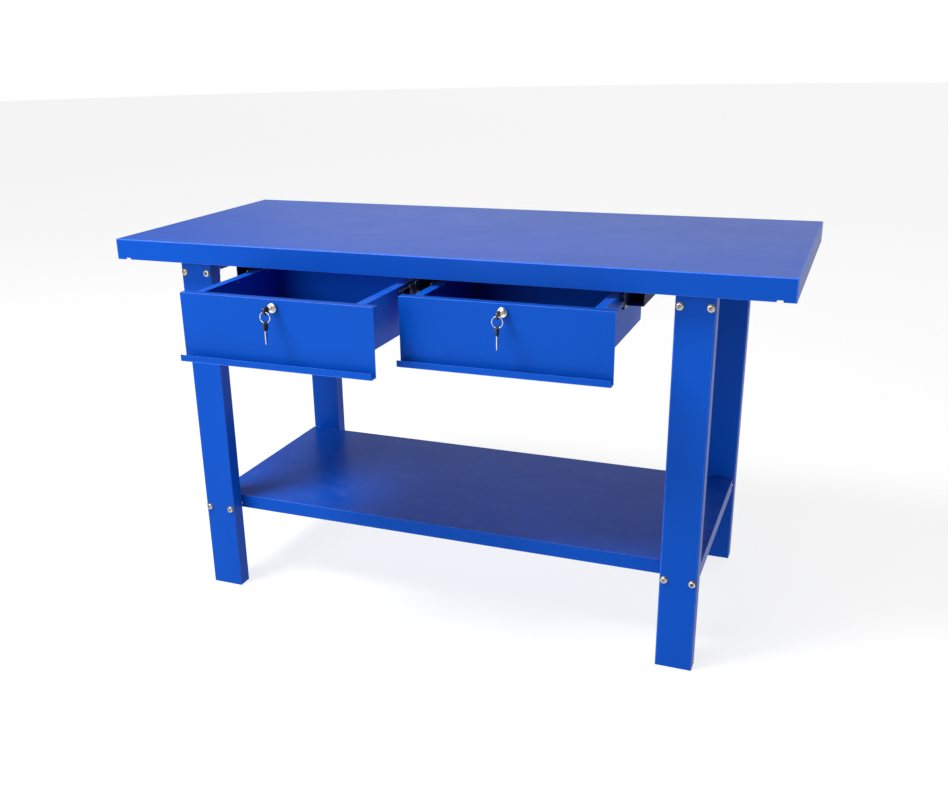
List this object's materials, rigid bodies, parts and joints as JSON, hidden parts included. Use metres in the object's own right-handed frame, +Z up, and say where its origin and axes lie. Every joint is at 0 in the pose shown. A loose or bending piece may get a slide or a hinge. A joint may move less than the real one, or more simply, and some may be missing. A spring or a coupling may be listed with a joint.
{
  "type": "workbench with drawers",
  "caption": "Folded-steel workbench with a sheet-metal worktop, tube legs, a lower shelf and lockable drawers on telescopic slides.",
  "frame": {"origin": "on the floor under the middle of the bench's outline, with the drawers standing open as at rest", "axes": "+X to the right along the bench's length, -Y towards the user at the front, +Z up"},
  "size_m": [1.5, 0.894, 0.873],
  "materials": {
    "paint": "satin powder coat",
    "dark_paint": "satin powder coat",
    "zinc": "zinc plated",
    "chrome": "polished",
    "key_plastic": "moulded"
  },
  "bodies": {
    "frame": {"bolt_front_left_lower_inner": "zinc", "bolt_front_left_lower_outer": "zinc", "bolt_front_left_upper_inner": "zinc", "bolt_front_left_upper_outer": "zinc", "bolt_front_right_lower_inner": "zinc", "bolt_front_right_lower_outer": "zinc", "bolt_front_right_upper_inner": "zinc", "bolt_front_right_upper_outer": "zinc", "bolt_rear_left_lower_inner": "zinc", "bolt_rear_left_lower_outer": "zinc", "bolt_rear_left_upper_inner": "zinc", "bolt_rear_left_upper_outer": "zinc", "bolt_rear_right_lower_inner": "zinc", "bolt_rear_right_lower_outer": "zinc", "bolt_rear_right_upper_inner": "zinc", "bolt_rear_right_upper_outer": "zinc", "hanger_left": "dark_paint", "hanger_middle": "dark_paint", "hanger_right": "dark_paint", "left_inner_slide_cabinet_member": "zinc", "left_outer_slide_cabinet_member": "zinc", "leg_front_left": "paint", "leg_front_right": "paint", "leg_rear_left": "paint", "leg_rear_right": "paint", "lower_end_rail_left": "paint", "lower_end_rail_right": "paint", "lower_shelf": "paint", "right_inner_slide_cabinet_member": "zinc", "right_outer_slide_cabinet_member": "zinc", "upper_end_rail_left": "paint", "upper_end_rail_right": "paint", "worktop": "paint"},
    "left_drawer": {"left_drawer_box": "paint", "left_drawer_front": "paint", "left_inner_slide_drawer_member": "zinc", "left_lock_body": "chrome", "left_lock_nut": "zinc", "left_outer_slide_drawer_member": "zinc"},
    "left_slide_middles": {"left_inner_slide_middle_member": "zinc", "left_outer_slide_middle_member": "zinc"},
    "left_lock": {"left_key": "key_plastic", "left_lock_cam": "zinc", "left_lock_plug": "chrome"},
    "left_ring": {"left_key_ring": "chrome"},
    "left_spare": {"left_spare_key": "key_plastic"},
    "right_drawer": {"right_drawer_box": "paint", "right_drawer_front": "paint", "right_inner_slide_drawer_member": "zinc", "right_lock_body": "chrome", "right_lock_nut": "zinc", "right_outer_slide_drawer_member": "zinc"},
    "right_slide_middles": {"right_inner_slide_middle_member": "zinc", "right_outer_slide_middle_member": "zinc"},
    "right_lock": {"right_key": "key_plastic", "right_lock_cam": "zinc", "right_lock_plug": "chrome"},
    "right_ring": {"right_key_ring": "chrome"},
    "right_spare": {"right_spare_key": "key_plastic"}
  },
  "joints": [
    {"name": "left_drawer_slide", "type": "slide", "parent": "frame", "child": "left_drawer", "axis": [0, -1, 0], "range_m": [-0.199, 0.051]},
    {"name": "left_middle_slide", "type": "slide", "parent": "frame", "child": "left_slide_middles", "axis": [0, -1, 0], "range_m": [-0.0995, 0.0255]},
    {"name": "left_lock_turn", "type": "hinge", "parent": "left_drawer", "child": "left_lock", "pos_m": [-0.22275, -0.406, 0.7955], "axis": [0, 1, 0], "range_deg": [0, 90]},
    {"name": "left_ring_swing", "type": "hinge", "parent": "left_lock", "child": "left_ring", "pos_m": [-0.22275, -0.4395, 0.7942], "axis": [1, 0, 0], "range_deg": [-60, 15]},
    {"name": "left_spare_key_swing", "type": "hinge", "parent": "left_ring", "child": "left_spare", "pos_m": [-0.22275, -0.4395, 0.7709], "axis": [1, 0, 0], "range_deg": [-60, 20]},
    {"name": "right_drawer_slide", "type": "slide", "parent": "frame", "child": "right_drawer", "axis": [0, -1, 0], "range_m": [-0.0975, 0.1525]},
    {"name": "right_middle_slide", "type": "slide", "parent": "frame", "child": "right_slide_middles", "axis": [0, -1, 0], "range_m": [-0.04875, 0.07625]},
    {"name": "right_lock_turn", "type": "hinge", "parent": "right_drawer", "child": "right_lock", "pos_m": [0.22275, -0.3045, 0.7955], "axis": [0, 1, 0], "range_deg": [0, 90]},
    {"name": "right_ring_swing", "type": "hinge", "parent": "right_lock", "child": "right_ring", "pos_m": [0.22275, -0.338, 0.7942], "axis": [1, 0, 0], "range_deg": [-60, 15]},
    {"name": "right_spare_key_swing", "type": "hinge", "parent": "right_ring", "child": "right_spare", "pos_m": [0.22275, -0.338, 0.7709], "axis": [1, 0, 0], "range_deg": [-60, 20]}
  ],
  "couplings": [
    {"joint": "left_middle_slide", "follows": "left_drawer_slide", "ratio": 0.5},
    {"joint": "right_middle_slide", "follows": "right_drawer_slide", "ratio": 0.5}
  ]
}
